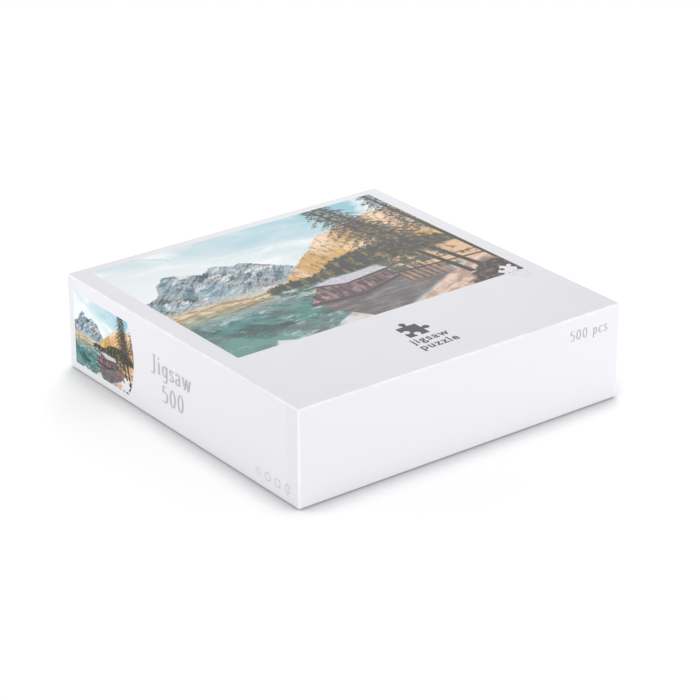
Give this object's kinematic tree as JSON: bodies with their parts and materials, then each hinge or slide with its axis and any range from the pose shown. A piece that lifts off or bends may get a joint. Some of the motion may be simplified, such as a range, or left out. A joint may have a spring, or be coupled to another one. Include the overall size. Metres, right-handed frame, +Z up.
{
  "type": "boxed jigsaw puzzle",
  "caption": "Square wrapped greyboard box with a full-depth lift-off lid, holding a sealed film bag of loose interlocking jigsaw pieces.",
  "frame": {"origin": "centre of the box's underside, on the table", "axes": "+Z up through the lid, -Y out of the front wall, +X to the right seen from the front; the printed picture's top is towards +Y"},
  "size_m": [0.19, 0.19, 0.05],
  "materials": {
    "greyboard": "rough uncoated",
    "lid_paper": "matt coated print",
    "base_paper": "matt coated",
    "gummed_tape": "kraft",
    "clear_film": "clear and crinkled",
    "puzzle_board": "satin coated print on grey board"
  },
  "bodies": {
    "base": {"base_board": "greyboard", "base_wrap": "base_paper", "base_corner_tapes": "gummed_tape"},
    "lid": {"lid_board": "greyboard", "lid_wrap": "lid_paper", "lid_corner_tapes": "gummed_tape"},
    "contents": {"pieces_bag": "clear_film", "puzzle_row_01": "puzzle_board", "puzzle_row_02": "puzzle_board", "puzzle_row_03": "puzzle_board", "puzzle_row_04": "puzzle_board", "puzzle_row_05": "puzzle_board", "puzzle_row_06": "puzzle_board", "puzzle_row_07": "puzzle_board", "puzzle_row_08": "puzzle_board", "puzzle_row_09": "puzzle_board", "puzzle_row_10": "puzzle_board", "puzzle_row_11": "puzzle_board", "puzzle_row_12": "puzzle_board", "puzzle_row_13": "puzzle_board", "puzzle_row_14": "puzzle_board", "puzzle_row_15": "puzzle_board", "puzzle_row_16": "puzzle_board", "puzzle_row_17": "puzzle_board", "puzzle_row_18": "puzzle_board", "puzzle_row_19": "puzzle_board", "puzzle_row_20": "puzzle_board"}
  },
  "joints": [
    {"name": "lid_lift", "type": "slide", "parent": "base", "child": "lid", "axis": [0, 0, 1], "range_m": [0, 0.096]},
    {"name": "contents_lift", "type": "slide", "parent": "base", "child": "contents", "axis": [0, 0, 1], "range_m": [0, 0.048]}
  ],
  "couplings": [
    {"joint": "contents_lift", "follows": "lid_lift", "ratio": 0.5}
  ]
}
